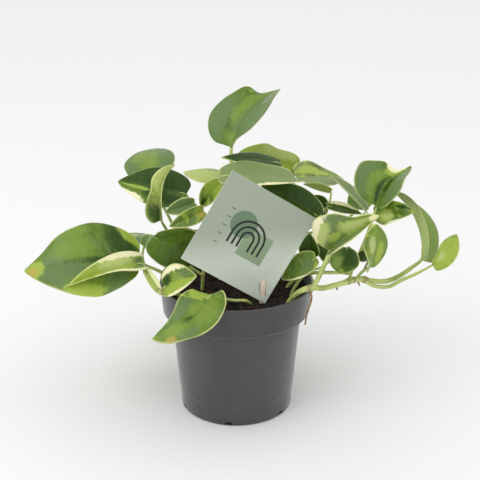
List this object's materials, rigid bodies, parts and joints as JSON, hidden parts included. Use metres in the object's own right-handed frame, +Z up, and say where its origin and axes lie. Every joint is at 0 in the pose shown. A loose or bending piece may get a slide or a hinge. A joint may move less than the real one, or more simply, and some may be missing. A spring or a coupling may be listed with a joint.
{
  "type": "potted trailing pothos house plant",
  "caption": "Marbled trailing aroid house plant in a round nursery pot with soil and a plain square label card on a wooden pick.",
  "frame": {"origin": "centre of the pot's foot, on the surface the pot stands on", "axes": "+Z up along the pot's axis, -Y towards the side that the label card faces, +X to its right"},
  "size_m": [0.3327, 0.1964, 0.2454],
  "materials": {
    "pot": "satin dark grey moulded plastic",
    "soil": "damp peat and bark fibre",
    "card": "coated sage green card",
    "pick": "raw birch wood",
    "leaf": "waxy marbled green leaf"
  },
  "bodies": {
    "root": {"pot": "pot", "soil": "soil", "label_card": "card", "label_pick": "pick", "vine_left": "leaf", "vine_front": "leaf", "vine_left_back": "leaf", "vine_left_middle": "leaf", "vine_card_left": "leaf", "vine_top": "leaf", "vine_centre": "leaf", "vine_card_right": "leaf", "vine_right_back": "leaf", "vine_right_high": "leaf", "vine_right": "leaf", "vine_back_left": "leaf", "vine_back_middle": "leaf", "vine_back_right": "leaf"}
  },
  "joints": []
}
